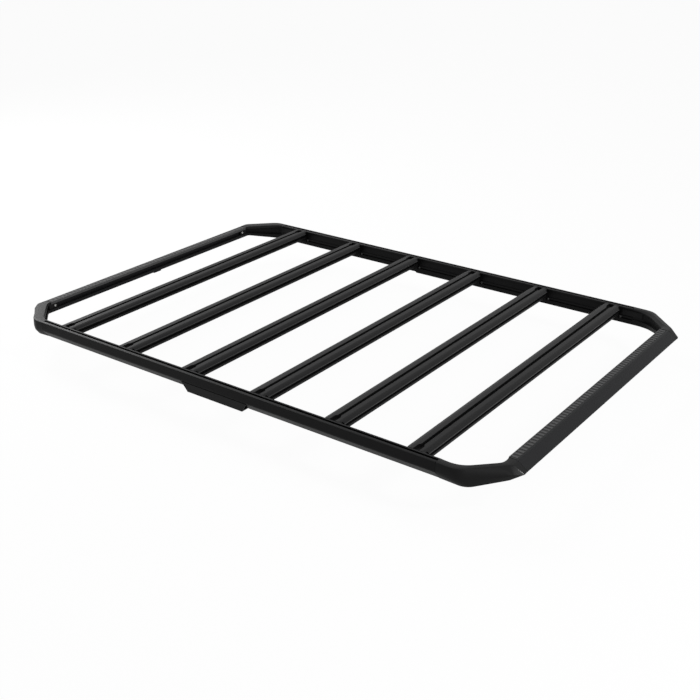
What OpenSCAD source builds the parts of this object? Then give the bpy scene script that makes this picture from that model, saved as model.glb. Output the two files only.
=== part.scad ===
// Flat platform roof rack: two side rails, two sloped end rails, four cast corners and six slotted crossbars.
// +X is the front end, +Y the left side, +Z up. Z = 0 is the underside of the side plates. Sizes are in mm.

/* [Frame] */
// Overall length, over the tips of the sloped end rails
frame_l = 1896; // [1696:50:2096]
// Overall width, over the outer faces of the side rails
frame_w = 1278; // [1178:50:1428]

/* [Side rails] */
// Depth of a side rail below its top
rail_h = 57; // [55:1:62]
// Width of a side rail at its top
rail_w = 25; // [24:0.2:28]
// Drop of the light bevel along a side rail's outer top edge
rail_bevel = 4; // [3:0.5:5]
// Depth at which a side rail's outer face turns inwards
rail_crease = 31; // [28:1:33]
// Mouth of the slot along a side rail's top
rail_slot_w = 9; // [7:0.5:10]

/* [End rails] */
// Width of an end rail's flat top
end_top = 29; // [27:1:33]
// Outward reach of an end rail's sloped face
end_out = 26.5; // [22:0.5:32]
// Drop of an end rail's sloped face
end_drop = 22; // [19:1:25]
// Depth of an end rail below its top
end_h = 38; // [36:1:42]
// Width of the grip strip let into an end rail
strip_w = 19.5; // [16:0.5:20]
// Height of the grip strip above an end rail's top
strip_proud = 0.8; // [0.4:0.1:1.2]

/* [Corners] */
// Length of a corner's 45 degree cut along each side
chamfer = 104; // [96:1:110]
// Length of a corner along the side rail
corner_x = 168; // [160:1:185]
// Length of a corner along the end rail
corner_y = 129.5; // [127:0.5:140]
// Width of a corner's crowned top
corner_top = 26; // [24:0.2:28]
// Drop of a corner's top towards its inner edge
crown_drop = 7; // [4:0.5:8]

/* [Crossbars] */
// Distance from the rack's end to the centre of its outermost crossbar
end_margin = 267; // [250:1:300]
// Shift of all crossbars towards the rear
bar_shift = 3; // [0:1:10]
// Width of a crossbar's flat top
bar_top = 45.6; // [42:0.2:50]
// Width of a crossbar over its side ridges
bar_w = 67.6; // [64:0.2:72]
// Depth of a crossbar
bar_h = 30.5; // [28:0.5:31]
// Mouth of the slots along a crossbar
slot_w = 10; // [8:0.5:11]
// Width of the widened slot entry at each end of a crossbar
entry_w = 20; // [16:0.5:22]
// Length of the notch that frees a crossbar's shoulders from the side rail
notch_l = 12; // [8:1:16]

/* [Side plates] */
// Length of a side plate along its top edge
plate_l = 256; // [220:2:300]
// Shift of the side plates towards the rear
plate_shift = 16; // [0:1:40]
// Thickness of a side plate
plate_t = 4; // [2:0.5:5]

/* [Hidden] */

black = [0.06, 0.06, 0.065];
cast_black = [0.09, 0.09, 0.095];
grip_black = [0.04, 0.04, 0.045];

top_z = rail_h + plate_t;
half_l = frame_l / 2;
half_w = frame_w / 2;
gap = 0.3;

// lines that the corners share with the rails
end_x = half_l - end_out;
seam_x = end_x - corner_x;
seam_y = half_w - corner_y;

// side rail profile
seam_gap = 0.8;
slot_land = 0.7;
inner_drop = 1.4;
crease_round = 4;
crease_steps = 4;
slot_lip = 2;
slot_deep = 8;
slot_wider = 2;
slot_wall = 2.3;
recess_top = 4.6;
recess_in = 3;
rail_slot_mid = rail_w - recess_in - slot_wall - slot_wider - rail_slot_w / 2;
bevel_w = rail_slot_mid - rail_slot_w / 2 - slot_land;
bar_sink = 0.5;
ledge_h = bar_sink + bar_h;
ledge_t = 6;
groove_h = 5.5;
groove_in = 5;
foot_w = 5;
rail_wall = 3;
under_run = (rail_w - foot_w) / (rail_h - 1 - rail_crease);
under_dir = [under_run, 1] / norm([under_run, 1]);

// end rail profile
channel_in = 12;
channel_top = 9;
channel_low = 27;
tip_h = 2.5;
edge_drop = 1.5;
end_wall = 3;
strip_deep = 1.6;
strip_gap = 0.25;
strip_in = 1.6;
strip_end = 3.5;
nose_back = 8;
channel_wall = end_top - channel_in;

// crossbar profile
bar_count = 6;
pitch = (frame_l - 2 * end_margin) / (bar_count - 1);
first_bar_x = half_l - end_margin - bar_shift;
bar_len = frame_w - 2 * rail_w - 2 * gap;
shoulder_h = 7.4;
ridge_h = 2;
side_in = 3.6;
foot_round = 3;
bar_wall = 2.6;
bar_slot_deep = 9.6;
under_w = 17;
entry_len = 26;
entry_taper = 8;
notch_in = 4;

// brackets, joiners and clips
bracket_w = 52;
bracket_l = 26;
bracket_t = 6;
leg_t = 5;
leg_drop = 9;
hook_in = 4.4;
joiner_l = 72;
joiner_h = 19;
joiner_end = 34;
clip_l = 36;
clip_w = 12;
clip_t = 3;

// Side rail section: x runs inwards from the outer face, y is depth below the top.
module rail_section() {
  slot_a = rail_slot_mid - rail_slot_w / 2;
  slot_b = rail_slot_mid + rail_slot_w / 2;
  wall_x = rail_w - recess_in;
  chamber_top = slot_deep + rail_wall;
  foot = [rail_w - foot_w, rail_h - 1];
  ledge_low = ledge_h + ledge_t;
  groove_low = ledge_low + groove_h;
  chamber_low = rail_crease + (wall_x - rail_wall - groove_in) / under_run;
  scale([1, -1]) difference() {
    polygon(concat([[0, rail_bevel], [0.9, 0.4 * rail_bevel], [3, 0.1 * rail_bevel], [bevel_w, 0],
      [slot_a, 0], [slot_a, slot_lip], [slot_a - slot_wider, slot_lip], [slot_a - slot_wider, slot_deep],
      [slot_b + slot_wider, slot_deep], [slot_b + slot_wider, slot_lip], [slot_b, slot_lip],
      [slot_b, 0], [rail_w - 2 * inner_drop, 0], [rail_w, inner_drop], [rail_w, recess_top],
      [wall_x, recess_top], [wall_x, ledge_h], [rail_w, ledge_h], [rail_w, ledge_low],
      [rail_w - groove_in, ledge_low], [rail_w - groove_in, groove_low], [rail_w, groove_low],
      [rail_w, rail_h], foot + [1, 1]],
      [for (i = [crease_steps : -1 : 0])
        arc_at([0, rail_crease], [0, 0], foot, crease_round, i / crease_steps)]));
    polygon([[rail_wall, chamber_top], [wall_x - rail_wall, chamber_top],
      [wall_x - rail_wall, ledge_h + 1], [wall_x - rail_wall - 2, ledge_h + 3],
      [wall_x - rail_wall - 2, chamber_low - 6], [rail_wall, rail_crease - 2]]);
  }
}

module side_rail() {
  color(black) translate([seam_gap - seam_x, -half_w, top_z]) rotate([90, 0, 90])
    linear_extrude(2 * (seam_x - seam_gap)) rail_section();
}

// End rail section of the front end: x runs outwards from the outer top edge, y is depth below the top.
module end_section() {
  run = end_out / (end_drop - edge_drop);
  nose_x = end_out - nose_back;
  nose_top = edge_drop + nose_x / run + end_wall * 1.24;
  low_run = (end_h - end_drop - tip_h) / (end_out + 1);
  nose_low = end_drop + tip_h + (end_out - nose_x) * low_run - end_wall * 1.1;
  inner_low = end_h - end_wall;
  back_x = end_wall - channel_wall;
  pocket = strip_w + 2 * strip_gap;
  scale([1, -1]) difference() {
    polygon([[-end_top, 0], [strip_in - end_top, 0], [strip_in - end_top, strip_deep],
      [strip_in + pocket - end_top, strip_deep], [strip_in + pocket - end_top, 0], [-6.5, 0],
      [-2.5, 0.4], [0, edge_drop], [end_out, end_drop], [end_out, end_drop + tip_h], [-1, end_h],
      [-end_top, end_h], [-end_top, channel_low], [-channel_wall, channel_low],
      [-channel_wall, channel_top], [-end_top, channel_top]]);
    polygon([[back_x, strip_deep + end_wall], [-2, strip_deep + end_wall], [nose_x, nose_top],
      [nose_x, nose_low], [-2, inner_low], [back_x, inner_low]]);
  }
}

module end_rail() {
  color(black) translate([end_x, seam_y - seam_gap, top_z]) rotate([90, 0, 0])
    linear_extrude(2 * (seam_y - seam_gap)) end_section();
}

module grip_strip() {
  color(grip_black)
    translate([end_x - end_top + strip_in + strip_gap, strip_end - seam_y, top_z - strip_deep])
    cube([strip_w, 2 * (seam_y - strip_end), strip_deep + strip_proud]);
}

// A corner is lofted along guide curves. Each one starts at the side rail, turns at both ends of
// the 45 degree cut and ends at the end rail. Insets are measured inwards from the outer faces.
root2 = sqrt(2);
bend_steps = 6;
face_steps = 7;

// [side inset, cut inset at the side, cut inset at the end, end inset], [4 depths], [2 bend reaches]
guides = [
  [[0, 1.2, -13, -end_out], [rail_crease - crease_round, 30, end_drop, end_drop], [24, 3.5]],
  [[0, 0, 0, 0], [rail_bevel, rail_bevel, edge_drop, edge_drop], [24, 3.5]],
  [[2, 2, 1.6, 1.6], [0.8, 0.9, 0.6, 0.6], [24, 3.5]],
  [[bevel_w, 6, 6, 6.5], [0, 0, 0, 0], [24, 4]],
  [[17, 16, 16, 20], [0.4, 1.5, 1.5, 0.4], [32, 14]],
  [[rail_w, corner_top, corner_top, end_top], [inner_drop, crown_drop, crown_drop, 1.5], [40, 17]],
  [[rail_w, corner_top, corner_top, end_top], [recess_top, 10, 10, channel_top], [40, 17]],
  [[rail_w - recess_in, 13, 13, channel_wall], [recess_top, 10, 10, channel_top], [22, 13]],
  [[rail_w - recess_in, 13, 13, channel_wall], [38, 42, 28, channel_low], [22, 13]],
  [[rail_w, corner_top, corner_top, end_top], [38, 42, 28, channel_low], [40, 17]],
  [[rail_w, corner_top, corner_top, end_top], [rail_h, rail_h, end_h, end_h], [40, 17]],
  [[rail_w - foot_w, 3.5, -1, 1], [rail_h, rail_h + 2.5, 43.5, end_h], [24, 8]],
  [[crease_round * under_dir[0], 2.6, -12, -end_out],
    [rail_crease + crease_round * under_dir[1], 42, end_drop + tip_h + 1, end_drop + tip_h], [24, 3.5]]];

function unit(v) = v / norm(v);
function blend(a, b, f) = a + (b - a) * f;
function arc_at(p, a, b, r, f) =
  pow(1 - f, 2) * (p + r * unit(a - p)) + 2 * f * (1 - f) * p + pow(f, 2) * (p + r * unit(b - p));

// the four turning points of a guide: side joint, both ends of the cut, end joint
function corner_keys(g) = let (s = g[0][0], a = g[0][1], b = g[0][2], e = g[0][3], h = g[1]) [
  [seam_x, s - half_w, top_z - h[0]],
  [end_x - chamfer - a * root2 + s, s - half_w, top_z - h[1]],
  [end_x - e, chamfer - half_w - e + b * root2, top_z - h[2]],
  [end_x - e, -seam_y, top_z - h[3]]];

function corner_curve(g) = let (k = corner_keys(g), r = g[2]) concat(
  [k[0]],
  [for (i = [0 : bend_steps]) arc_at(k[1], k[0], k[2], r[0], i / bend_steps)],
  [for (i = [1 : face_steps - 1])
    blend(arc_at(k[1], k[0], k[2], r[0], 1), arc_at(k[2], k[1], k[3], r[1], 0), i / face_steps)],
  [for (i = [0 : bend_steps]) arc_at(k[2], k[1], k[3], r[1], i / bend_steps)],
  [k[3]]);

module corner_loft() {
  curves = [for (g = guides) corner_curve(g)];
  across = len(curves);
  along = len(curves[0]);
  points = [for (j = [0 : along - 1]) for (i = [0 : across - 1]) curves[i][j]];
  skin = [for (j = [0 : along - 2]) for (i = [0 : across - 1])
    let (a = j * across + i, b = j * across + (i + 1) % across) each
      [[a, b, a + across], [b, b + across, a + across]]];
  polyhedron(points, concat(skin, [[for (i = [0 : across - 1]) across - 1 - i]],
    [[for (i = [0 : across - 1]) (along - 1) * across + i]]));
}

module corner() {
  color(cast_black) corner_loft();
}

// Crossbar section: x is across the bar, y is depth below the bar's top.
module bar_section() {
  s = slot_w / 2;
  u = under_w / 2;
  side = bar_w / 2;
  low = side - side_in;
  upper = bar_slot_deep;
  lower = bar_h - bar_slot_deep;
  rise = shoulder_h / (side - bar_top / 2);
  half = [[u, upper], [u, bar_wall], [s, bar_wall], [s, 0], [bar_top / 2, 0], [side, shoulder_h],
    [side, shoulder_h + ridge_h], [side - 1.8, shoulder_h + ridge_h + 1.8],
    [low, bar_h - foot_round], [low - foot_round, bar_h], [s, bar_h], [s, bar_h - bar_wall],
    [u, bar_h - bar_wall], [u, lower]];
  scale([1, -1]) difference() {
    polygon(concat(half, [for (i = [len(half) - 1 : -1 : 0]) [-half[i][0], half[i][1]]]));
    for (m = [0, 1]) mirror([m, 0])
      polygon([[u + bar_wall, bar_wall], [bar_top / 2 - 1, bar_wall],
        [side - 4, bar_wall + (side - 3 - bar_top / 2) * rise],
        [low - bar_wall, bar_h - bar_wall - 2], [low - foot_round - 1, bar_h - bar_wall],
        [u + bar_wall, bar_h - bar_wall]]);
    translate([-u + 1, upper + bar_wall]) square([2 * u - 2, lower - upper - 2 * bar_wall]);
  }
}

// Widened slot entry at the right-hand end of a crossbar.
module bar_end_cut() {
  end_y = -bar_len / 2;
  entry_deep = bar_slot_deep - 1;
  translate([0, 0, -entry_deep]) linear_extrude(entry_deep + 1)
    polygon([[-entry_w / 2, end_y - 1], [entry_w / 2, end_y - 1], [entry_w / 2, end_y + entry_len],
      [slot_w / 2, end_y + entry_len + entry_taper], [-slot_w / 2, end_y + entry_len + entry_taper],
      [-entry_w / 2, end_y + entry_len]]);
}

// Notches that free the shoulders at the right-hand end of a crossbar.
module shoulder_notches() {
  inner = bar_top / 2 + notch_in;
  for (m = [0, 1]) mirror([m, 0, 0]) translate([inner, -bar_len / 2 - 1, -bar_h - 1])
    cube([bar_w / 2 - inner + 1, notch_l + 1, bar_h + 2]);
}

module crossbar(n) {
  color(black) translate([first_bar_x - (n - 1) * pitch, 0, top_z - bar_sink]) difference() {
    translate([0, bar_len / 2, 0]) rotate([90, 0, 0]) linear_extrude(bar_len) bar_section();
    for (m = [0, 1]) mirror([0, m, 0]) {
      bar_end_cut();
      shoulder_notches();
    }
  }
}

// Bracket under a crossbar's right-hand end, hooked into the side rail's inner groove.
module bar_bracket() {
  y0 = rail_w + gap - half_w;
  foot_z = top_z - ledge_h - bracket_t;
  hook_z = top_z - ledge_h - ledge_t - groove_h + 0.6;
  translate([-bracket_w / 2, y0, foot_z]) cube([bracket_w, bracket_l, bracket_t]);
  translate([-bracket_w / 2, y0, foot_z - leg_drop]) cube([bracket_w, leg_t, leg_drop + bracket_t]);
  translate([-bracket_w / 2, y0 - hook_in, hook_z]) cube([bracket_w, hook_in + 1, groove_h - 1.2]);
}

module bar_brackets() {
  color(cast_black) for (n = [1 : bar_count])
    translate([first_bar_x - (n - 1) * pitch, 0, 0]) bar_bracket();
}

// Side plate: an upright skirt with slanted ends below the rail's crease, and a flat foot under the rail.
module side_plate() {
  skirt_in = 0.3;
  skirt_t = 3;
  top_h = rail_crease + 2.5;
  back_h = rail_crease + (skirt_in + skirt_t) / under_run + 0.2;
  under_h = rail_h + plate_t;
  front_lean = 15;
  rear_lean = 24;
  color(black) translate([-plate_shift, -half_w, 0]) difference() {
    translate([-plate_l / 2, 0, top_z]) rotate([90, 0, 90]) linear_extrude(plate_l) scale([1, -1])
      polygon([[skirt_in, top_h], [1.8, top_h], [skirt_in + skirt_t, back_h], [skirt_in + skirt_t, rail_h],
        [rail_w, rail_h], [rail_w, under_h], [skirt_in, under_h]]);
    for (m = [0, 1]) let (lean = m == 0 ? front_lean : rear_lean) mirror([m, 0, 0])
      translate([0, rail_w + 1, top_z]) rotate([90, 0, 0]) linear_extrude(rail_w + 2) scale([1, -1])
      polygon([[plate_l / 2, top_h], [plate_l / 2 + 1, top_h - 1], [plate_l / 2 + 1, under_h + 1],
        [plate_l / 2 - lean - 1, under_h + 1], [plate_l / 2 - lean, under_h]]);
  }
}

// Joint plates in the side rails' inner recesses, and joint blocks in the end rails' channels.
module side_joiner() {
  translate([seam_x - joiner_l / 2, rail_w - recess_in - half_w, top_z - recess_top - 5 - joiner_h])
    cube([joiner_l, recess_in - gap, joiner_h]);
}

module end_joiner() {
  translate([end_x - end_top + 3, -seam_y - 3, top_z - channel_low + gap])
    cube([end_top - 3 - channel_wall, joiner_end, channel_low - channel_top - 2 * gap]);
}

module on_four_corners() {
  for (a = [0, 1]) for (b = [0, 1]) mirror([a, 0, 0]) mirror([0, b, 0]) children();
}

module rail_clip() {
  translate([end_x - end_top, -clip_l / 2, top_z - end_h - clip_t]) cube([clip_w, clip_l, clip_t]);
}

side_rail();  // side_rail_right
mirror([0, 1, 0]) side_rail();  // side_rail_left
end_rail();  // end_rail_front
mirror([1, 0, 0]) end_rail();  // end_rail_rear
corner();  // corner_front_right
mirror([0, 1, 0]) corner();  // corner_front_left
mirror([1, 0, 0]) corner();  // corner_rear_right
mirror([1, 0, 0]) mirror([0, 1, 0]) corner();  // corner_rear_left
crossbar(1);  // crossbar_1
crossbar(2);  // crossbar_2
crossbar(3);  // crossbar_3
crossbar(4);  // crossbar_4
crossbar(5);  // crossbar_5
crossbar(6);  // crossbar_6
grip_strip();  // grip_strip_front
mirror([1, 0, 0]) grip_strip();  // grip_strip_rear
side_plate();  // side_plate_right
mirror([0, 1, 0]) side_plate();  // side_plate_left
bar_brackets();  // bar_brackets_right
mirror([0, 1, 0]) bar_brackets();  // bar_brackets_left
color(cast_black) on_four_corners() side_joiner();  // side_joiners
color(cast_black) on_four_corners() end_joiner();  // end_joiners
color(cast_black) for (m = [0, 1]) mirror([m, 0, 0]) rail_clip();  // end_rail_clips
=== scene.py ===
# %% [markdown]
# # A flat platform roof rack, dressed in Blender
#
# The rack is a frame of black aluminium extrusions: two deep side rails, two shallow sloped end rails, four cast
# corners and six wide crossbars. The CAD model already holds all of these shapes at their real size, so this
# lesson leaves them where they are. It gives them their finishes, puts finer crossbars, corners and grip strips
# in the place of the plain ones, and adds the rubber lips, screws and bolts that the solids leave out.

import math

import bmesh
import bpy
from mathutils import Matrix, Vector


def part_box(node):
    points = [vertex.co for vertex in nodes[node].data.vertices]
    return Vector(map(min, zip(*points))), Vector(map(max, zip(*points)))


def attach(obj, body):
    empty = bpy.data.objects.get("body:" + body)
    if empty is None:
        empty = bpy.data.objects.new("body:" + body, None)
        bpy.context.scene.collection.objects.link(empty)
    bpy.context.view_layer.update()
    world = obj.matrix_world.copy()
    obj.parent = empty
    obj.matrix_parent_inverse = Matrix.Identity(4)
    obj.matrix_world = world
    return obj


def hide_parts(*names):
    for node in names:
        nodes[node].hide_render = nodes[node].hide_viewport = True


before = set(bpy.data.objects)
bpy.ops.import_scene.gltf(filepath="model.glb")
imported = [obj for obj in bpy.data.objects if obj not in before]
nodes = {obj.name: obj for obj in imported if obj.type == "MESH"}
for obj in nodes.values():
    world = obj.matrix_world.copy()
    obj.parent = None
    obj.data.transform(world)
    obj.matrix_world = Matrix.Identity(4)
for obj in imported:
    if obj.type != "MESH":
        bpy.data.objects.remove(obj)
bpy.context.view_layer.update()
BODY = "root"

# %% [markdown]
# ## The camera
#
# The photo's lens could be guessed by eye, but the rack has long straight rails and evenly spaced bars, so the
# view was solved from them instead. The three angles and the place below are that solution. A camera looks
# along its own -Z axis, so the turns are put together from the direction that points back at the camera.

# %% Camera
PIXELS = 700
FOCAL_PIXELS = 1082.577
SENSOR = 36.0
azimuth, elevation, roll = (math.radians(a) for a in (36.342, 24.6663, -0.1302))
eye = Vector((1.98952, -2.68389, 1.46712))

back = Vector((math.sin(azimuth) * math.cos(elevation), -math.cos(azimuth) * math.cos(elevation),
               math.sin(elevation)))
level = Vector((math.cos(azimuth), math.sin(azimuth), 0))
above = back.cross(level)
right = level * math.cos(roll) + above * math.sin(roll)
up = above * math.cos(roll) - level * math.sin(roll)

lens = bpy.data.cameras.new("photo_camera")
lens.sensor_width = SENSOR
lens.lens = FOCAL_PIXELS * SENSOR / PIXELS
lens.clip_end = 50
camera = bpy.data.objects.new("photo_camera", lens)
camera.matrix_world = Matrix.Translation(eye) @ Matrix((right, up, back)).transposed().to_4x4()
bpy.context.scene.collection.objects.link(camera)
bpy.context.scene.camera = camera
print("lens:", round(lens.lens, 2), "mm")

# %% [markdown]
# ## A small language for shaders
#
# A material is a network of nodes, and a network is tedious to wire by hand. Here one class wraps a socket and
# overloads + - * /, so that a line such as `0.4 + 0.1 * grain` adds the Math nodes by itself. Any other node
# comes from `Shader.node`, which takes the type, its settings and the values or links of its sockets.

# %% Shader helpers
class Value:
    """A number that changes over a surface: wraps an output socket."""

    def __init__(self, shader, socket):
        self.shader = shader
        self.socket = socket

    def _math(self, operation, a, b):
        return self.shader.node("ShaderNodeMath", {"operation": operation}, {0: a, 1: b})

    def __add__(self, other):
        return self._math("ADD", self, other)

    def __radd__(self, other):
        return self._math("ADD", other, self)

    def __sub__(self, other):
        return self._math("SUBTRACT", self, other)

    def __rsub__(self, other):
        return self._math("SUBTRACT", other, self)

    def __mul__(self, other):
        return self._math("MULTIPLY", self, other)

    def __rmul__(self, other):
        return self._math("MULTIPLY", other, self)

    def __truediv__(self, other):
        return self._math("DIVIDE", self, other)

    def clamp(self):
        return self.shader.node("ShaderNodeClamp", {}, {"Value": self})


class Shader:
    """A material's node tree, with its own Principled shader."""

    def __init__(self, name):
        self.material = bpy.data.materials.new(name)
        self.material.use_nodes = True
        self.tree = self.material.node_tree
        self.surface = self.tree.nodes["Principled BSDF"]

    def node(self, kind, settings, inputs, output=0):
        made = self.tree.nodes.new(kind)
        for name, value in settings.items():
            setattr(made, name, value)
        for name, value in inputs.items():
            self.plug(made.inputs[name], value)
        return Value(self, made.outputs[output])

    def plug(self, socket, value):
        if isinstance(value, Value):
            self.tree.links.new(value.socket, socket)
        else:
            socket.default_value = value

    def set(self, **values):
        for name, value in values.items():
            self.plug(self.surface.inputs[name.replace("_", " ")], value)

    def place(self, stretch=(1, 1, 1)):
        """The point on the object in metres, stretched along each axis."""
        spot = self.node("ShaderNodeTexCoord", {}, {}, "Object")
        return self.node("ShaderNodeMapping", {}, {"Vector": spot, "Scale": stretch})

    def noise(self, where, scale, detail=3, roughness=0.5):
        return self.node("ShaderNodeTexNoise", {}, {"Vector": where, "Scale": scale, "Detail": detail,
                                                    "Roughness": roughness})

    def mix(self, amount, low, high):
        """A colour between two others, each an (r, g, b) tuple or the Value of a colour."""
        low, high = (c if isinstance(c, Value) else (*c, 1) for c in (low, high))
        return self.node("ShaderNodeMix", {"data_type": "RGBA"}, {0: amount, 6: low, 7: high}, 2)

    def bump(self, height, strength, distance):
        return self.node("ShaderNodeBump", {}, {"Height": height, "Strength": strength, "Distance": distance})


print("shader helpers ready")

# %% [markdown]
# ## Powder-coated extrusions
#
# Rails and bars are extruded aluminium under a matt black powder coat. A coat like this is never one flat
# colour: it has a fine orange-peel relief about a millimetre across, a slower change in how deep the black is,
# and faint straight lines where the die left its marks along the profile. All three come from noise on the
# object's own coordinates, the last one with the noise stretched along the length of the piece.
#
# The photo has a brighter line on the crossbars' ridges and on the front corner's mitre than a matt coat gives.
# That is taken to be coat rubbed smooth by straps and hands, which is a guess. The mesh says how much each point
# is rubbed, in an attribute called `rubbed`, and the finish lays a clearer coat over it there.

# %% Coated finishes
RUBBED = "rubbed"
CLOUD_SCALE = 6.0
DIE_LINE_SCALE, DIE_LINE_STRETCH = 420.0, 2.5
DIE_LINE_SHARE = 0.35
CAST_GRAIN_SCALE = 220.0
ROUGH_SPREAD = 0.12
PEEL_STRENGTH, PEEL_DEPTH = 0.25, 0.0002


def coated(name, dark, light, rough, along, specular, peel=700.0, polish_rough=None):
    """Matt black coat. `along` is the axis of the extrusion: 0 for X, 1 for Y, None for a casting."""
    coat = Shader(name)
    where = coat.place()
    cloud = coat.noise(where, CLOUD_SCALE, 4)
    peel_relief = coat.noise(where, peel, 2)
    relief = peel_relief
    if along is not None:
        stretch = [DIE_LINE_SCALE] * 3
        stretch[along] = DIE_LINE_STRETCH
        die_lines = coat.noise(coat.place(tuple(stretch)), 1.0, 2)
        relief = (1 - DIE_LINE_SHARE) * peel_relief + DIE_LINE_SHARE * die_lines
        depth = (0.6 * cloud + 0.4 * die_lines).clamp()
    else:
        depth = (0.7 * cloud + 0.3 * coat.noise(where, CAST_GRAIN_SCALE, 3)).clamp()
    coat.set(Base_Color=coat.mix(depth, dark, light))
    coat.set(Roughness=(rough - ROUGH_SPREAD / 2) + ROUGH_SPREAD * (0.5 * cloud + 0.5 * peel_relief))
    coat.set(Normal=coat.bump(relief, PEEL_STRENGTH, PEEL_DEPTH))
    coat.surface.inputs["Specular IOR Level"].default_value = specular
    if polish_rough:
        polish = coat.node("ShaderNodeAttribute", {"attribute_name": RUBBED}, {}, "Fac")
        coat.set(Coat_Weight=polish * (0.8 + 0.2 * peel_relief))
        coat.surface.inputs["Coat Roughness"].default_value = polish_rough
    return coat.material


BLACK, BLACK_CLOUD = (0.004, 0.004, 0.0042), (0.0085, 0.0085, 0.0088)
rail_side = coated("rail_coat_side", BLACK, BLACK_CLOUD, 0.4, 0, 0.09)
rail_end = coated("rail_coat_end", (0.006, 0.0062, 0.0068), (0.011, 0.0113, 0.0124), 0.48, 1, 0.12)
bar_coat = coated("bar_coat", BLACK, BLACK_CLOUD, 0.47, 1, 0.125, polish_rough=0.35)
plate_coat = coated("plate_coat", (0.006, 0.006, 0.0063), (0.011, 0.011, 0.0114), 0.5, 0, 0.16)
corner_cast = coated("corner_cast", (0.005, 0.005, 0.0052), (0.01, 0.01, 0.0103), 0.47, None, 0.11, peel=420.0,
                     polish_rough=0.16)
small_parts = coated("small_parts", BLACK, (0.009, 0.009, 0.0092), 0.45, None, 0.12, peel=900.0)

print("coats:", [m.name for m in bpy.data.materials])

# %% [markdown]
# ## Rubber and steel
#
# The grip strips and the end rails' lips are matt rubber with dust in their grain, and the strips carry painted
# shade that darkens them towards the foot of their ribs.
# The screws are bright steel, lighter than anything else on the rack, and the bolts are black steel.

# %% Rubber and steel
GROOVE_Z = 0.0607
RIB_TOP_Z = 0.0614


def rubbery(name, dark, light, painted_groove_shade):
    """Matt rubber. Its last argument is painted shade between the ribs: the darker colour it takes towards their
    foot, or None where it has no ribs.
    """
    rubber = Shader(name)
    where = rubber.place()
    grain = rubber.noise(where, 900.0, 3)
    dust = rubber.noise(where, 25.0, 5, 0.65)
    colour = rubber.mix(dust, dark, light)
    if painted_groove_shade:
        # Painted shade: lower down the ribs the colour darkens to the shade colour, standing in for the shade
        # that falls between them.
        height = rubber.node("ShaderNodeSeparateXYZ", {}, {"Vector": where}, "Z")
        shade = 1 - ((height - GROOVE_Z) / (RIB_TOP_Z - GROOVE_Z)).clamp()
        colour = rubber.mix(shade, colour, painted_groove_shade)
    rubber.set(Base_Color=colour, Roughness=0.62 + 0.2 * dust, Normal=rubber.bump(grain, 0.4, 0.0003))
    rubber.surface.inputs["Specular IOR Level"].default_value = 0.3
    return rubber.material


# The grip rubber's third colour is painted shade at the foot of its ribs.
rib_rubber = rubbery("grip_rubber", (0.044, 0.044, 0.0445), (0.068, 0.068, 0.069), (0.018, 0.018, 0.018))
edge_rubber = rubbery("edge_rubber", (0.062, 0.062, 0.0625), (0.08, 0.08, 0.081), None)

steel = Shader("screw_steel")
steel_place = steel.place()
scratches = steel.noise(steel_place, 1800.0, 2)
tarnish = steel.noise(steel_place, 120.0, 3)
steel.set(Base_Color=steel.mix(tarnish, (0.42, 0.42, 0.41), (0.62, 0.62, 0.6)))
steel.set(Roughness=0.24 + 0.2 * scratches)
steel.surface.inputs["Metallic"].default_value = 1.0

black_steel = Shader("black_screw_steel")
black_place = black_steel.place()
black_grain = black_steel.noise(black_place, 900.0, 3)
black_steel.set(Base_Color=black_steel.mix(black_grain, (0.012, 0.012, 0.012), (0.03, 0.03, 0.03)))
black_steel.set(Roughness=0.34 + 0.2 * black_grain)
print("materials:", len(bpy.data.materials))

# %% [markdown]
# ## Finishes on the CAD nodes
#
# The imported nodes keep their meshes. Only the material in their slots changes, so one table from the start of
# a node's name to its finish dresses all of them. The end rails run across the rack, and their die lines with
# them, so they get the coat whose lines follow Y.

# %% Dress the CAD nodes
finish_of = [("side_rail", rail_side), ("end_rail_clips", small_parts), ("end_rail", rail_end),
             ("crossbar", bar_coat), ("side_plate", plate_coat), ("corner", corner_cast),
             ("bar_brackets", small_parts), ("side_joiners", small_parts), ("end_joiners", small_parts),
             ("grip_strip", rib_rubber)]
for name, obj in nodes.items():
    finish = next(material for start, material in finish_of if name.startswith(start))
    obj.data.materials.clear()
    obj.data.materials.append(finish)
print("dressed:", len(nodes))

# %% [markdown]
# ## Geometry Nodes for what repeats
#
# Ribs, screws and bolts are each one small shape used many times. A Geometry Nodes tree lays a line of points,
# puts an instance of the shape on each, and ends in Realize Instances and Set Material. The result is then
# turned into a plain mesh, because an export would drop instances.

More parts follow.
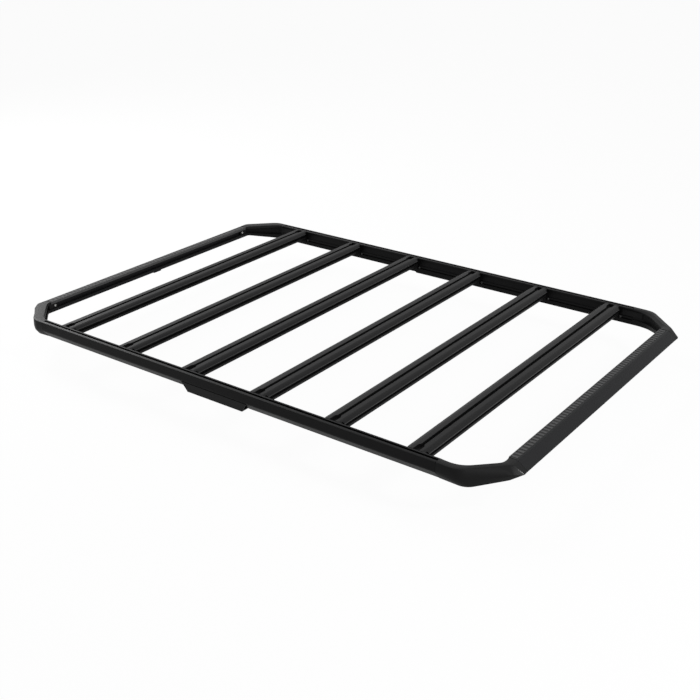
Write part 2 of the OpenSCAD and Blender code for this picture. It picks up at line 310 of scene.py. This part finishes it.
# %% Row tree
def row_tree(name):
    """Copies of one object along a line: inputs are the object, the count, the start and the step."""
    tree = bpy.data.node_groups.new(name, "GeometryNodeTree")
    face = tree.interface
    face.new_socket(name="Geometry", in_out="OUTPUT", socket_type="NodeSocketGeometry")
    for label, kind in (("Geometry", "Geometry"), ("Shape", "Object"), ("Count", "Int"), ("Start", "Vector"),
                        ("Step", "Vector"), ("Finish", "Material")):
        face.new_socket(name=label, in_out="INPUT", socket_type="NodeSocket" + kind)
    give = tree.nodes.new("NodeGroupInput")
    take = tree.nodes.new("NodeGroupOutput")
    line = tree.nodes.new("GeometryNodeMeshLine")
    line.mode = "OFFSET"
    shape = tree.nodes.new("GeometryNodeObjectInfo")
    copies = tree.nodes.new("GeometryNodeInstanceOnPoints")
    real = tree.nodes.new("GeometryNodeRealizeInstances")
    paint = tree.nodes.new("GeometryNodeSetMaterial")
    for a, b in ((give.outputs["Count"], line.inputs["Count"]),
                 (give.outputs["Start"], line.inputs["Start Location"]),
                 (give.outputs["Step"], line.inputs["Offset"]),
                 (give.outputs["Shape"], shape.inputs["Object"]),
                 (line.outputs["Mesh"], copies.inputs["Points"]),
                 (shape.outputs["Geometry"], copies.inputs["Instance"]),
                 (copies.outputs["Instances"], real.inputs["Geometry"]),
                 (real.outputs["Geometry"], paint.inputs["Geometry"]),
                 (give.outputs["Finish"], paint.inputs["Material"]),
                 (paint.outputs["Geometry"], take.inputs[0])):
        tree.links.new(a, b)
    return tree


ROW = row_tree("row_of_copies")


def new_object(name, mesh):
    obj = bpy.data.objects.new(name, mesh)
    bpy.context.scene.collection.objects.link(obj)
    return obj


def row_mesh(shape, count, start, step, finish):
    """The mesh of `count` copies of a shape, from `start` and `step` apart."""
    carrier = new_object("row_carrier", bpy.data.meshes.new("row_carrier"))
    modifier = carrier.modifiers.new("row", "NODES")
    modifier.node_group = ROW
    given = {"Shape": shape, "Count": count, "Start": start, "Step": step, "Finish": finish}
    for item in ROW.interface.items_tree:
        if item.in_out == "INPUT" and item.name in given:
            modifier[item.identifier] = given[item.name]
    bpy.context.view_layer.update()
    graph = bpy.context.evaluated_depsgraph_get()
    mesh = bpy.data.meshes.new_from_object(carrier.evaluated_get(graph))
    bpy.data.objects.remove(carrier)
    return mesh


def join_meshes(name, meshes, finish):
    """One object from several meshes, with one material."""
    whole = bmesh.new()
    for mesh in meshes:
        whole.from_mesh(mesh)
        bpy.data.meshes.remove(mesh)
    joined = bpy.data.meshes.new(name)
    whole.to_mesh(joined)
    whole.free()
    joined.materials.append(finish)
    for face in joined.polygons:
        face.material_index = 0
    return new_object(name, joined)


def finish_piece(obj, slot, *replaced):
    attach(obj, BODY)
    if replaced:
        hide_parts(*replaced)
    print(obj.name, "faces:", len(obj.data.polygons))


print("row tree inputs:", [i.name for i in ROW.interface.items_tree if i.in_out == "INPUT"])

# %% [markdown]
# ## Lofting through rings
#
# The crossbars and the corners are long forms whose section changes along the way. One helper builds them all: it
# takes rings of points that correspond one to one, spans faces between them and closes both ends. Rings may
# share points, and these merge, so a step in the section is just two rings at the same place. Edges sharper than
# a limit stay crisp and the others are shaded smooth.

# %% Loft helper
MM = 0.001
CRISP = math.radians(32)
SAME_POINT = 1e-6


def loft(name, rings, finish):
    """A closed object through rings of as many points each."""
    skin = bmesh.new()
    rows = [[skin.verts.new(point) for point in ring] for ring in rings]
    around = len(rows[0])
    for low, high in zip(rows, rows[1:]):
        for i in range(around):
            j = (i + 1) % around
            skin.faces.new((low[i], low[j], high[j], high[i]))
    skin.faces.new(rows[0][::-1])
    skin.faces.new(rows[-1])
    bmesh.ops.remove_doubles(skin, verts=skin.verts, dist=SAME_POINT)
    bmesh.ops.dissolve_degenerate(skin, edges=skin.edges, dist=SAME_POINT)
    bmesh.ops.recalc_face_normals(skin, faces=skin.faces)
    mesh = bpy.data.meshes.new(name)
    skin.to_mesh(mesh)
    skin.free()
    mesh.shade_smooth()
    mesh.set_sharp_from_angle(angle=CRISP)
    mesh.materials.append(finish)
    return new_object(name, mesh)


def mirrored(point, flip_x, flip_y):
    return Vector((-point[0] if flip_x else point[0], -point[1] if flip_y else point[1], point[2]))


print("loft keeps edges crisp over", round(math.degrees(CRISP)), "degrees")

# %% [markdown]
# ## The crossbars
#
# The photo shows two things on a crossbar's side that the CAD solid leaves out: the ridge at the foot of the
# sloped shoulder is rounded and lighter, and a dark groove runs below it. The new bar has the solid's outline
# with these two added. Each ring is the full section at one place along the bar. At the ends the slot widens for
# the bolt heads, and the shoulders are notched to clear the side rail, so the rings there move some points in.
# The lists give half a section in millimetres: the distance from the middle and the depth below the top.

# %% Crossbars
BAR_COUNT = 6
BAR_SHOULDER = [(18.6, 0), (19.6, 0.1), (24, 1.5), (28.5, 3.9), (32.6, 6.6), (33.5, 7.2),
                (33.7, 7.9), (33.7, 9.2), (33.2, 9.8), (30.4, 10.3)]
BAR_GROOVE = [(20, 10.5), (20, 21.0), (29.6, 21.2), (30.3, 21.8)]
BAR_FOOT = [(30.2, 27.2), (29.4, 29.4), (27.2, 30.5), (5, 30.5), (5, 27.9), (8.5, 27.9), (8.5, 20.9)]
RIDGE_POLISH = 0.8
RIDGE_X = 33.0
RIDGE_FROM, RIDGE_TO = 7.0, 9.5
NOTCH_X = 26.8
NOTCH_FROM, NOTCH_TO, NOTCH_SHOULDER = 3.0, 7.5, 2.9
NOTCH_LONG = 12.0
ENTRY_LONG = 26.0
ENTRY_TAPER = 8.0
ENTRY_HALF = 10.0
SLOT_HALF = 5.0
CAVITY_HALF, CAVITY_DEPTH = 8.5, 9.6
LIP_DEPTH = 2.6
SLOT_CHAMFER = 0.4


def notch(x, depth):
    """Where a point of the section goes in the notch beside the side rail."""
    on_shoulder = x > NOTCH_X and NOTCH_FROM < depth < NOTCH_TO
    return min(x, NOTCH_X), NOTCH_SHOULDER if on_shoulder else depth


def bar_ring(y, slot_half, notched):
    wide = max(slot_half, CAVITY_HALF)
    slot = [(wide, CAVITY_DEPTH), (wide, LIP_DEPTH), (slot_half, LIP_DEPTH), (slot_half, SLOT_CHAMFER),
            (slot_half + SLOT_CHAMFER, 0)]
    half = slot + BAR_SHOULDER + BAR_GROOVE + BAR_FOOT
    if notched:
        half = [notch(x, depth) for x, depth in half]
    return [(x, y, depth) for x, depth in half] + [(-x, y, depth) for x, depth in half[::-1]]


def crossbar_rings(node):
    low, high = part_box(node)
    middle = (low.x + high.x) / 2
    end = high.y / MM
    stops = [(0, ENTRY_HALF, True), (NOTCH_LONG, ENTRY_HALF, True), (NOTCH_LONG, ENTRY_HALF, False),
             (ENTRY_LONG, ENTRY_HALF, False), (ENTRY_LONG + ENTRY_TAPER, SLOT_HALF, False)]
    stations = [(d - end, half, cut) for d, half, cut in stops]
    stations += [(-y, half, cut) for y, half, cut in stations[::-1]]
    return [[Vector((middle + x * MM, y * MM, high.z - depth * MM)) for x, y, depth in bar_ring(*station)]
            for station in stations]


def rub_ridges(bar, box):
    """Mark the two ridges along the bar as rubbed."""
    low, high = box
    mark = bar.data.attributes.new(RUBBED, "FLOAT", "POINT")
    for vertex in bar.data.vertices:
        out = abs(vertex.co.x - (low.x + high.x) / 2) / MM
        depth = (high.z - vertex.co.z) / MM
        on_ridge = out > RIDGE_X and RIDGE_FROM < depth < RIDGE_TO
        mark.data[vertex.index].value = RIDGE_POLISH if on_ridge else 0.0


for n in range(1, BAR_COUNT + 1):
    node = "crossbar_%d" % n
    bar = loft("grooved_bar_%d" % n, crossbar_rings(node), bar_coat)
    rub_ridges(bar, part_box(node))
    finish_piece(bar, "bar_coat", node)

# %% [markdown]
# ## The cast corners
#
# A corner changes from the deep side rail to the shallow end rail while it turns through 45 degrees twice. It is
# lofted along guide curves, as its solid is, but with finer steps and a smooth skin, so that light runs over it
# without facets. The rear corners are rounder and broader on top than the front ones and start nearer the end, so
# they have guides of their own, and a short length of rail fills up their place. All sizes are in millimetres,
# for the front right corner, and the others are its mirror images.

# %% Corner guides
HALF_WIDTH, END_X, TOP = 639.0, 921.5, 61.0
CUT = 104.0
SEAM_Y = 509.5

# each guide: insets at the side rail, at both ends of the cut and at the end rail, then the four depths, then how
# far each of the two bends reaches before and after its turning point
FRONT_GUIDES = [
    ((0, 1.2, -13, -26.5), (27, 30, 22, 22), (24, 24, 10, 3)),
    ((0, 0, 0, 0), (4, 4, 1.5, 1.5), (24, 24, 10, 3)),
    ((0.9, 0.9, 0.6, 0.6), (1.6, 2.1, 1.3, 0.8), (24, 24, 10, 3)),
    ((3, 2.4, 1.8, 2.2), (0.4, 1.3, 1.0, 0.4), (24, 24, 10, 3)),
    ((8, 6, 6, 6.5), (0, 0.9, 0.7, 0), (24, 24, 10, 3)),
    ((9.5, 7.5, 7.5, 8), (0, 0.8, 0.6, 0), (24, 24, 10, 3)),
    ((17, 15, 15, 20), (0.1, 0, 0, 0.1), (32, 32, 14, 14)),
    ((23, 21, 21, 27), (0.3, 3.2, 3.2, 0.3), (36, 36, 16, 16)),
    ((25, 25.6, 25.6, 28.6), (1.4, 6.4, 6.4, 1.0), (40, 40, 17, 17)),
    ((25, 26, 26, 29), (4.6, 10, 10, 9), (40, 40, 17, 17)),
    ((22, 13, 13, 17), (4.6, 10, 10, 9), (22, 22, 13, 13)),
    ((22, 13, 13, 17), (38, 42, 28, 27), (22, 22, 13, 13)),
    ((25, 26, 26, 29), (38, 42, 28, 27), (40, 40, 17, 17)),
    ((25, 26, 26, 29), (57, 57, 38, 38), (40, 40, 17, 17)),
    ((20, 3.5, -1, 1), (57, 59.5, 43.5, 38), (24, 24, 10, 6)),
    ((2.5, 2.6, -12, -26.5), (34.1, 42, 25.5, 24.5), (24, 24, 10, 3))]
REAR_GUIDES = [
    ((0, -5, -18, -26.5), (27, 30, 22, 22), (20, 30, 12, 10)),
    ((0, -5.5, -5.5, 0), (4, 4, 1.5, 1.5), (20, 30, 12, 10)),
    ((0.9, -5, -5, 0.6), (1.6, 1.6, 0.8, 0.8), (20, 30, 12, 10)),
    ((3, -4, -4, 2.2), (0.4, 0.4, 0.3, 0.4), (20, 30, 12, 10)),
    ((8, 0, 0, 6.5), (0, 0, 0, 0), (20, 30, 12, 10)),
    ((9.5, 1.5, 1.5, 8), (0, 0, 0, 0), (20, 30, 12, 10)),
    ((17, 15, 15, 20), (0, 0, 0, 0), (20, 34, 14, 12)),
    ((23, 28, 28, 27), (0.3, 0.3, 0.3, 0.3), (20, 36, 16, 8)),
    ((25, 31, 31, 28.6), (1.4, 6.4, 6.4, 1.0), (16, 36, 14, 4)),
    ((25, 31.4, 31.4, 29), (4.6, 10, 10, 9), (16, 36, 14, 4)),
    ((22, 16, 16, 17), (4.6, 10, 10, 9), (16, 30, 13, 8)),
    ((22, 16, 16, 17), (38, 42, 28, 27), (16, 30, 13, 8)),
    ((25, 30, 30, 29), (38, 42, 28, 27), (16, 36, 14, 4)),
    ((25, 29.5, 29.5, 29), (57, 57, 38, 38), (16, 36, 14, 4)),
    ((20, 0, -6, 1), (57, 59.5, 43.5, 38), (20, 30, 12, 8)),
    ((2.5, -3.5, -17, -26.5), (34.1, 42, 25.5, 24.5), (20, 30, 12, 10))]
print("guides:", len(FRONT_GUIDES), "front,", len(REAR_GUIDES), "rear")

# %% Corners
BEND_STEPS = 10
FACE_STEPS = 8
FRONT_SEAM_X = 753.5
REAR_SEAM_X = 780.0
ROOT2 = math.sqrt(2)


def bend(turn, before, after, reach_in, reach_out, f):
    """A point at f of the arc that rounds a turning point."""
    start = turn + reach_in * (before - turn).normalized()
    end = turn + reach_out * (after - turn).normalized()
    return (1 - f) ** 2 * start + 2 * f * (1 - f) * turn + f ** 2 * end


def corner_guide(guide, seam_x):
    insets, depths, reach = guide
    side, cut_a, cut_b, end = insets
    z = [TOP - depth for depth in depths]
    keys = [Vector((seam_x, side - HALF_WIDTH, z[0])),
            Vector((END_X - CUT - cut_a * ROOT2 + side, side - HALF_WIDTH, z[1])),
            Vector((END_X - end, CUT - HALF_WIDTH - end + cut_b * ROOT2, z[2])),
            Vector((END_X - end, -SEAM_Y, z[3]))]
    first = [bend(keys[1], keys[0], keys[2], reach[0], reach[1], i / BEND_STEPS) for i in range(BEND_STEPS + 1)]
    last = [bend(keys[2], keys[1], keys[3], reach[2], reach[3], i / BEND_STEPS) for i in range(BEND_STEPS + 1)]
    between = [first[-1].lerp(last[0], i / FACE_STEPS) for i in range(1, FACE_STEPS)]
    return [keys[0]] + first + between + last + [keys[3]]


MITRE_FOOT = Vector((END_X, CUT - HALF_WIDTH))
MITRE_TIP = Vector((948.0, -527.0))
MITRE_HALF = 6.0
MITRE_FROM, MITRE_TO = 1.0, 27.0
MITRE_LOWEST = 35


def rub_mitre(corner):
    """Mark how rubbed each point is: 1 on a front corner's mitre, where the cut meets the slope, 0 elsewhere."""
    along = (MITRE_TIP - MITRE_FOOT).normalized()
    across = Vector((-along.y, along.x))
    mark = corner.data.attributes.new(RUBBED, "FLOAT", "POINT")
    for vertex in corner.data.vertices:
        spot = Vector((abs(vertex.co.x), -abs(vertex.co.y))) / MM - MITRE_FOOT
        on_slope = MITRE_FROM < spot.dot(along) < MITRE_TO and vertex.co.z / MM > MITRE_LOWEST
        near = max(0.0, 1.0 - abs(spot.dot(across)) / MITRE_HALF)
        mark.data[vertex.index].value = min(1.0, 2 * near) if on_slope and vertex.co.x > 0 else 0.0


def cast_corner(end, side, guides, seam_x):
    curves = [corner_guide(guide, seam_x) for guide in guides]
    rings = [[mirrored(curve[j] * MM, end == "rear", side == "left") for curve in curves]
             for j in range(len(curves[0]))]
    node = "corner_%s_%s" % (end, side)
    corner = loft("cast_" + node, rings, corner_cast)
    rub_mitre(corner)
    finish_piece(corner, "corner_cast", node)


for side in ("right", "left"):
    cast_corner("front", side, FRONT_GUIDES, FRONT_SEAM_X)
    cast_corner("rear", side, REAR_GUIDES, REAR_SEAM_X)

# %% [markdown]
# ## The rails' rear lengths
#
# The side rails reach further back than their solids, up to the rear corners' seams. A short length with the same
# section carries on their slot, crease and groove.

# %% Rail lengths behind the solids
SEAM_GAP = 0.0008
RAIL_SECTION = [(0, 4), (0.9, 1.6), (3, 0.4), (8, 0), (8.7, 0), (8.7, 2), (6.7, 2), (6.7, 8), (19.7, 8),
                (19.7, 2), (17.7, 2), (17.7, 0), (22.2, 0), (25, 1.4), (25, 4.6), (22, 4.6), (22, 31), (25, 31),
                (25, 37), (20, 37), (20, 42.5), (25, 42.5), (25, 57), (21, 57), (2.5, 34.1), (1.3, 32.7),
                (0.6, 31.2), (0.2, 29.3), (0, 27)]
for side in ("right", "left"):
    low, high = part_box("side_rail_" + side)
    rings = [[mirrored((x, (inset - HALF_WIDTH) * MM, (TOP - depth) * MM), False, side == "left")
              for inset, depth in RAIL_SECTION] for x in (low.x, -REAR_SEAM_X * MM + SEAM_GAP)]
    finish_piece(loft("rail_rear_length_" + side, rings, rail_side), "rail_coat")

# %% [markdown]
# ## The ribbed grip strips
#
# Hands and straps slide over the ends of the rack, so a rubber strip is pressed into each end rail. It has a
# low rib across it every 16 mm. The CAD strip is a plain bar, so this one stands for it: a bar a little lower
# than the solid, with rounded ribs that come up to the solid's top.

# %% Ribbed strips
RIB_PITCH = 0.016
RIB_WIDTH = 0.0085
RIB_RISE = 0.0011
RIB_SINK = 0.0004
RIB_MARGIN = 0.0006
RIB_ROUND, STRIP_ROUND = 0.00035, 0.0004


def rounded_block(low, high, round_by):
    """A box from corner to corner with all its edges rounded."""
    block = bmesh.new()
    bmesh.ops.create_cube(block, size=1.0)
    for vertex in block.verts:
        vertex.co = Vector((low[i] if vertex.co[i] < 0 else high[i] for i in range(3)))
    bmesh.ops.bevel(block, geom=list(block.edges), offset=round_by, segments=2, profile=0.5, affect="EDGES")
    mesh = bpy.data.meshes.new("rounded_block")
    block.to_mesh(mesh)
    block.free()
    return mesh


def ribbed_strip(node):
    low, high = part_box(node)
    base_top = high.z - RIB_RISE
    middle = (low.x + high.x) / 2
    half = (high.x - low.x) / 2
    base = rounded_block((low.x, low.y, low.z), (high.x, high.y, base_top), STRIP_ROUND)
    count = int((high.y - low.y - RIB_WIDTH) // RIB_PITCH) + 1
    first = (low.y + high.y - (count - 1) * RIB_PITCH) / 2
    rib = new_object("rib_shape", rounded_block((-half + RIB_MARGIN, -RIB_WIDTH / 2, -RIB_SINK),
                                                (half - RIB_MARGIN, RIB_WIDTH / 2, RIB_RISE), RIB_ROUND))
    ribs = row_mesh(rib, count, (middle, first, base_top), (0, RIB_PITCH, 0), rib_rubber)
    bpy.data.objects.remove(rib)
    strip = join_meshes(node.replace("grip_strip", "ribbed_grip"), [base, ribs], rib_rubber)
    finish_piece(strip, "grip_rubber", node)
    return count


for end in ("front", "rear"):
    print(end, "ribs:", ribbed_strip("grip_strip_" + end))

# %% [markdown]
# ## The rubber lips
#
# The photo shows a light lip on the inner top edge of the end rail. It is as matt as the strip and stops a little
# short of the channel, so it is made as a rubber edge: a flat tongue on the rim and a flap down the inner face.

# %% Rubber lips
LIP_THICK = 0.0009
LIP_DROP = 0.0082
LIP_RISE = 0.0002
TONGUE_THICK = 0.0006
RIM = 0.0016


def rubber_lip(end):
    low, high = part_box("end_rail_" + end)
    strip_low, strip_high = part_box("grip_strip_" + end)
    inward = -1 if end == "front" else 1
    face = low.x if end == "front" else high.x
    y0, y1 = strip_low.y, strip_high.y

    def part(x_from, x_to, z_from, z_to):
        return rounded_block((min(x_from, x_to), y0, z_from), (max(x_from, x_to), y1, z_to), STRIP_ROUND)

    flap = part(face, face + inward * LIP_THICK, high.z - LIP_DROP, high.z + LIP_RISE)
    tongue = part(face + inward * LIP_THICK, face - inward * RIM, high.z, high.z + TONGUE_THICK)
    finish_piece(join_meshes("rubber_lip_" + end, [flap, tongue], edge_rubber), "grip_rubber")


for end in ("front", "rear"):
    rubber_lip(end)

# %% [markdown]
# ## Screws and bolts
#
# One button-head screw with a hexagon socket is turned out of rings, like every other solid here. Bright steel
# screws hold the joint blocks in the end rails' channels, close to the corners. Black bolts hold the brackets to
# the side rails' lower inner faces, one beside each crossbar. Both repeat, so the row tree sets them out.

# %% Fasteners
SIDES = 12
HEAD_SINK = 0.0004
SCREW_RADIUS, SCREW_HEIGHT = 0.0044, 0.003
BOLT_RADIUS, BOLT_HEIGHT = 0.0042, 0.0024


def button_head(direction, radius, height, finish):
    """A screw head at the origin that points along a direction."""
    aim = Vector(direction)
    across = aim.orthogonal().normalized()
    up = aim.cross(across)

    def ring(size, level, hexagon=False):
        points = []
        for i in range(SIDES):
            angle = 2 * math.pi * i / SIDES
            reach = size * (math.cos(math.pi / 6) if hexagon and i % 2 else 1.0)
            points.append(reach * (math.cos(angle) * across + math.sin(angle) * up) + level * aim)
        return points

    rings = [ring(radius, -HEAD_SINK), ring(radius, height * 0.3), ring(radius * 0.9, height * 0.72),
             ring(radius * 0.68, height), ring(radius * 0.5, height, True),
             ring(radius * 0.48, height * 0.25, True)]
    return loft("head_shape", rings, finish)


def set_out(name, direction, radius, height, finish, count, start, step):
    shape = button_head(direction, radius, height, finish)
    mesh = row_mesh(shape, count, start, step, finish)
    bpy.data.objects.remove(shape)
    finish_piece(join_meshes(name, [mesh], finish), "small_parts")


CHANNEL_DEEP = 0.003
SCREW_Y, SCREW_Z = 0.488, 0.043
for end, toward in (("front", -1), ("rear", 1)):
    low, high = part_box("end_rail_" + end)
    face = low.x + CHANNEL_DEEP if end == "front" else high.x - CHANNEL_DEEP
    set_out("channel_screws_" + end, (toward, 0, 0), SCREW_RADIUS, SCREW_HEIGHT, steel.material, 2,
            (face, -SCREW_Y, SCREW_Z), (0, 2 * SCREW_Y, 0))

BOLT_BESIDE = 0.0339
BOLT_Y, BOLT_Z = 0.614, 0.0237
bar_low, bar_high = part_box("crossbar_1")
next_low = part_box("crossbar_2")[0]
first_bolt = (bar_low.x + bar_high.x) / 2 + BOLT_BESIDE
for side, toward in (("right", 1), ("left", -1)):
    set_out("bracket_bolts_" + side, (0, toward, 0), BOLT_RADIUS, BOLT_HEIGHT, black_steel.material, BAR_COUNT,
            (first_bolt, -toward * BOLT_Y, BOLT_Z), (next_low.x - bar_low.x, 0, 0))

# %% [markdown]
# ## The studio
#
# A matt black object is seen mostly by what it mirrors: each face is as light as the surround behind it, and the
# flatter the eye looks along a face, the lighter it gets. The rack therefore stands in a plain white surround,
# which the camera sees at a strength near 1, over a pale floor that keeps a faint shadow. Reflections see the sky
# as white too, but the floor at about half of that. A real floor isn't dimmer in a mirror than to the eye: this
# is set so that the faces that look down are as dark as in the photo. Only the diffuse light comes at its own,
# lower level, from a soft sky and the lamps.

# %% White surround
FLOOR_DROP = 0.09
FLOOR_REACH = 30.0
FLOOR_GREY, FLOOR_PALE = (0.5, 0.5, 0.5), (0.9, 0.9, 0.9)
SEEN_WHITE = 0.95
MIRRORED_WHITE = 0.45
MIRRORED_PALENESS = 0.25


def white_rays(tree):
    """1 for what the camera sees directly, in a reflection or through glass, else 0."""
    path = tree.nodes.new("ShaderNodeLightPath")
    socket = path.outputs["Is Camera Ray"]
    for other in ("Is Glossy Ray", "Is Transmission Ray"):
        larger = tree.nodes.new("ShaderNodeMath")
        larger.operation = "MAXIMUM"
        tree.links.new(socket, larger.inputs[0])
        tree.links.new(path.outputs[other], larger.inputs[1])
        socket = larger.outputs[0]
    return socket


def mirror_rays(tree):
    """1 for what is seen in a reflection, else 0."""
    return tree.nodes.new("ShaderNodeLightPath").outputs["Is Glossy Ray"]


def mix_surfaces(tree, factor, first, second, target):
    blend = tree.nodes.new("ShaderNodeMixShader")
    tree.links.new(factor, blend.inputs[0])
    tree.links.new(first, blend.inputs[1])
    tree.links.new(second, blend.inputs[2])
    tree.links.new(blend.outputs[0], target)


floor_mesh = bpy.data.meshes.new("studio_floor")
floor_mesh.from_pydata([(FLOOR_REACH * x, FLOOR_REACH * y, 0) for x, y in ((-1, -1), (1, -1), (1, 1), (-1, 1))],
                       [], [(0, 1, 2, 3)])
floor = new_object("studio_floor", floor_mesh)
floor.location.z = -FLOOR_DROP
floor_look = Shader("studio_floor")
floor_seen = Value(floor_look, white_rays(floor_look.tree))
floor_look.surface.inputs["Specular IOR Level"].default_value = 0.0
glow = floor_look.node("ShaderNodeEmission", {}, {"Color": (1, 1, 1, 1), "Strength": 1.0})
floor_mirrored = Value(floor_look, mirror_rays(floor_look.tree))
paleness = floor_seen - (1 - MIRRORED_PALENESS) * floor_mirrored
floor_look.set(Base_Color=floor_look.mix(paleness, FLOOR_GREY, FLOOR_PALE), Roughness=1.0)
whiteness = floor_seen * SEEN_WHITE - floor_mirrored * (SEEN_WHITE - MIRRORED_WHITE)
mix_surfaces(floor_look.tree, whiteness.socket, floor_look.surface.outputs[0], glow.socket,
             floor_look.tree.nodes["Material Output"].inputs["Surface"])
floor.data.materials.append(floor_look.material)

SKY_LEVEL = 0.32
world = bpy.data.worlds.new("studio_sky")
world.use_nodes = True
bpy.context.scene.world = world
sky = world.node_tree
sky.nodes["Background"].inputs["Color"].default_value = (1, 1, 1, 1)
sky.nodes["Background"].inputs["Strength"].default_value = SKY_LEVEL
white = sky.nodes.new("ShaderNodeBackground")
white.inputs["Color"].default_value = (1, 1, 1, 1)
mix_surfaces(sky, white_rays(sky), sky.nodes["Background"].outputs[0], white.outputs[0],
             sky.nodes["World Output"].inputs["Surface"])
print("floor at", -FLOOR_DROP, "sky level", SKY_LEVEL)

# %% [markdown]
# ## The lamps
#
# A large lamp high behind the rear end makes the bevels and strips brighter towards the rear. A small low one
# lifts the front end. The third stands where the mitre of the front right corner mirrors it to the camera, and
# draws the bright line there.

# %% Lamps
def softbox(name, place, aim, size, power):
    """A square lamp at a place, turned to a point it looks at, that the camera itself doesn't see."""
    lamp = bpy.data.lights.new(name, "AREA")
    lamp.shape = "SQUARE"
    lamp.size = size
    lamp.energy = power
    obj = bpy.data.objects.new(name, lamp)
    turn = (Vector(aim) - Vector(place)).to_track_quat("-Z", "Y").to_matrix().to_4x4()
    obj.matrix_world = Matrix.Translation(place) @ turn
    obj.visible_camera = False
    bpy.context.scene.collection.objects.link(obj)


softbox("rear_softbox", (-3.4, 0.2, 2.4), (-0.3, -0.3, 0), 2.4, 150)
softbox("low_front_softbox", (3.0, -2.0, 0.35), (0.9, -0.6, 0), 0.9, 14)
softbox("mitre_spot", (3.06, 0.0, 2.03), (0.93, -0.53, 0.05), 0.7, 45)

bpy.context.scene.view_settings.view_transform = "Standard"
print("lamps:", len(bpy.data.lights))
